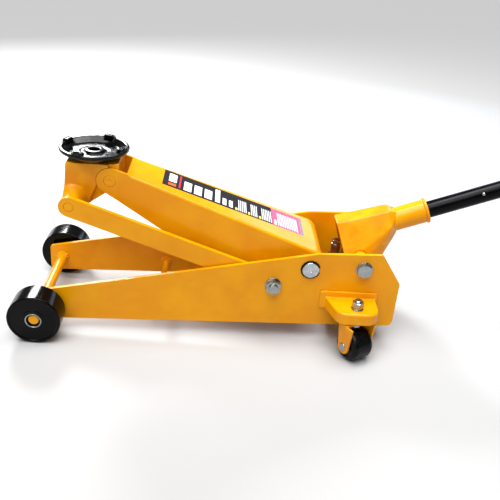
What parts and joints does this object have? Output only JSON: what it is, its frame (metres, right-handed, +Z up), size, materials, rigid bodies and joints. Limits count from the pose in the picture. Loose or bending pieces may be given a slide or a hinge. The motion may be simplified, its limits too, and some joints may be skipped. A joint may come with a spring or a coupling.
{
  "type": "car jack",
  "caption": "Hydraulic trolley jack with a parallelogram lift arm, a level turning saddle, fixed front wheels, swivelling rear casters and a long pump handle.",
  "frame": {"origin": "middle of the footprint of the whole jack with its handle, at floor level", "axes": "+X from the front wheels to the handle, +Z up"},
  "size_m": [1.6554, 0.3298, 0.6166],
  "materials": {
    "yellow_enamel": "Glossy yellow-orange enamel sprayed over pressed, welded and cast steel",
    "zinc_steel": "Zinc-plated steel, satin, slightly scuffed",
    "ground_steel": "Ground steel, bright and smooth",
    "black_oxide": "Spring steel with a black oxide finish",
    "spring_steel": "Drawn spring wire",
    "unit_casting": "Rough casting under the same yellow enamel",
    "black_nylon": "Glossy black moulded nylon",
    "caster_tread": "Black moulded nylon roller, satin",
    "black_iron": "Cast iron dipped in gloss black",
    "black_enamel": "Gloss black enamel on steel tube",
    "grip_rubber": "Matt black moulded rubber"
  },
  "bodies": {
    "frame": {"side_plate_left": "yellow_enamel", "side_plate_right": "yellow_enamel", "front_axle": "yellow_enamel", "axle_circlip_left": "zinc_steel", "axle_circlip_right": "zinc_steel", "tie_rod": "yellow_enamel", "lift_shaft": "ground_steel", "shaft_circlip_left": "black_oxide", "shaft_circlip_right": "black_oxide", "link_bolt_left": "zinc_steel", "link_bolt_right": "zinc_steel", "link_nut_left": "zinc_steel", "link_nut_right": "zinc_steel", "socket_bolt_left": "zinc_steel", "socket_bolt_right": "zinc_steel", "caster_bracket_left": "yellow_enamel", "caster_bracket_right": "yellow_enamel", "kingpin_left": "zinc_steel", "kingpin_right": "zinc_steel", "kingpin_nut_left": "zinc_steel", "kingpin_nut_right": "zinc_steel", "unit_base_plate": "yellow_enamel", "cylinder": "unit_casting", "pump_block": "unit_casting", "filler_plug": "zinc_steel", "plunger_spring": "spring_steel"},
    "lift_arm": {"lift_arm": "yellow_enamel", "head_pin": "yellow_enamel", "arm_pivot_tube": "yellow_enamel", "crank": "yellow_enamel", "crank_pin": "ground_steel"},
    "links": {"link_bar_left": "yellow_enamel", "link_bar_right": "yellow_enamel", "link_pin": "yellow_enamel"},
    "head": {"saddle_head": "yellow_enamel"},
    "saddle": {"saddle": "black_iron", "saddle_circlip": "zinc_steel"},
    "ram": {"ram": "ground_steel"},
    "socket": {"socket_yoke": "yellow_enamel", "socket_tube": "yellow_enamel", "socket_pivot_tube": "yellow_enamel", "pump_cam": "ground_steel"},
    "plunger": {"pump_plunger": "ground_steel"},
    "release_valve": {"release_valve": "zinc_steel"},
    "handle": {"handle_tube_lower": "black_enamel", "handle_tube_upper": "black_enamel", "handle_stub": "black_enamel", "handle_grip": "grip_rubber"},
    "snap_button_lower": {"snap_button_lower": "ground_steel"},
    "snap_button_upper": {"snap_button_upper": "ground_steel"},
    "front_wheel_left": {"front_wheel_left": "black_nylon", "wheel_bush_left": "zinc_steel"},
    "caster_left": {"caster_fork_left": "yellow_enamel", "caster_axle_left": "zinc_steel"},
    "caster_wheel_left": {"caster_wheel_left": "caster_tread"},
    "front_wheel_right": {"front_wheel_right": "black_nylon", "wheel_bush_right": "zinc_steel"},
    "caster_right": {"caster_fork_right": "yellow_enamel", "caster_axle_right": "zinc_steel"},
    "caster_wheel_right": {"caster_wheel_right": "caster_tread"}
  },
  "joints": [
    {"name": "lift_arm_raise", "type": "hinge", "parent": "frame", "child": "lift_arm", "pos_m": [-0.32416, 0, 0.143], "axis": [0, 1, 0], "range_deg": [-27, 40]},
    {"name": "link_swing", "type": "hinge", "parent": "frame", "child": "links", "pos_m": [-0.38516, 0, 0.1085], "axis": [0, 1, 0], "range_deg": [-27, 40]},
    {"name": "head_level", "type": "hinge", "parent": "lift_arm", "child": "head", "pos_m": [-0.66916, 0, 0.262], "axis": [0, 1, 0], "range_deg": [-40, 27]},
    {"name": "saddle_turn", "type": "hinge", "parent": "head", "child": "saddle", "pos_m": [-0.70036, 0, 0.29], "axis": [0, 0, 1], "continuous": true},
    {"name": "ram_stroke", "type": "slide", "parent": "frame", "child": "ram", "axis": [-1, 0, 0], "range_m": [-0.0226, 0.0333]},
    {"name": "socket_pump", "type": "hinge", "parent": "frame", "child": "socket", "pos_m": [-0.23226, 0, 0.1486], "axis": [0, -1, 0], "range_deg": [0, 46]},
    {"name": "plunger_stroke", "type": "slide", "parent": "frame", "child": "plunger", "axis": [0, 0, 1], "range_m": [0, 0.026], "deforming": ["plunger_spring"]},
    {"name": "handle_twist", "type": "hinge", "parent": "socket", "child": "handle", "pos_m": [-0.11602, 0, 0.2279], "axis": [0.9294, 0, 0.3691], "range_deg": [0, 150]},
    {"name": "release_valve_turn", "type": "hinge", "parent": "frame", "child": "release_valve", "pos_m": [-0.17916, -0.017, 0.07], "axis": [1, 0, 0], "range_deg": [0, 150]},
    {"name": "snap_button_lower_press", "type": "slide", "parent": "handle", "child": "snap_button_lower", "axis": [0.1676, 0.891, -0.4219], "range_m": [0, 0.003], "stiffness_N_per_m": 600},
    {"name": "snap_button_upper_press", "type": "slide", "parent": "handle", "child": "snap_button_upper", "axis": [0.1676, 0.891, -0.4219], "range_m": [0, 0.003], "stiffness_N_per_m": 600},
    {"name": "front_wheel_left_spin", "type": "hinge", "parent": "frame", "child": "front_wheel_left", "pos_m": [-0.78316, -0.121, 0.0445], "axis": [0, 1, 0], "continuous": true},
    {"name": "caster_left_swivel", "type": "hinge", "parent": "frame", "child": "caster_left", "pos_m": [-0.24216, -0.127, 0.07], "axis": [0, 0, 1], "continuous": true},
    {"name": "caster_wheel_left_spin", "type": "hinge", "parent": "caster_left", "child": "caster_wheel_left", "pos_m": [-0.23828, -0.134, 0.0275], "axis": [0.8746, 0.4848, 0], "continuous": true},
    {"name": "front_wheel_right_spin", "type": "hinge", "parent": "frame", "child": "front_wheel_right", "pos_m": [-0.78316, 0.121, 0.0445], "axis": [0, 1, 0], "continuous": true},
    {"name": "caster_right_swivel", "type": "hinge", "parent": "frame", "child": "caster_right", "pos_m": [-0.24216, 0.127, 0.07], "axis": [0, 0, 1], "continuous": true},
    {"name": "caster_wheel_right_spin", "type": "hinge", "parent": "caster_right", "child": "caster_wheel_right", "pos_m": [-0.23828, 0.134, 0.0275], "axis": [-0.8746, 0.4848, 0], "continuous": true}
  ],
  "couplings": [
    {"joint": "link_swing", "follows": "lift_arm_raise", "ratio": 1},
    {"joint": "head_level", "follows": "lift_arm_raise", "ratio": -1},
    {"joint": "ram_stroke", "follows": "lift_arm_raise", "m_per_rad": 0.0472},
    {"joint": "plunger_stroke", "follows": "socket_pump", "m_per_rad": 0.0319},
    {"joint": "release_valve_turn", "follows": "handle_twist", "ratio": 1}
  ]
}
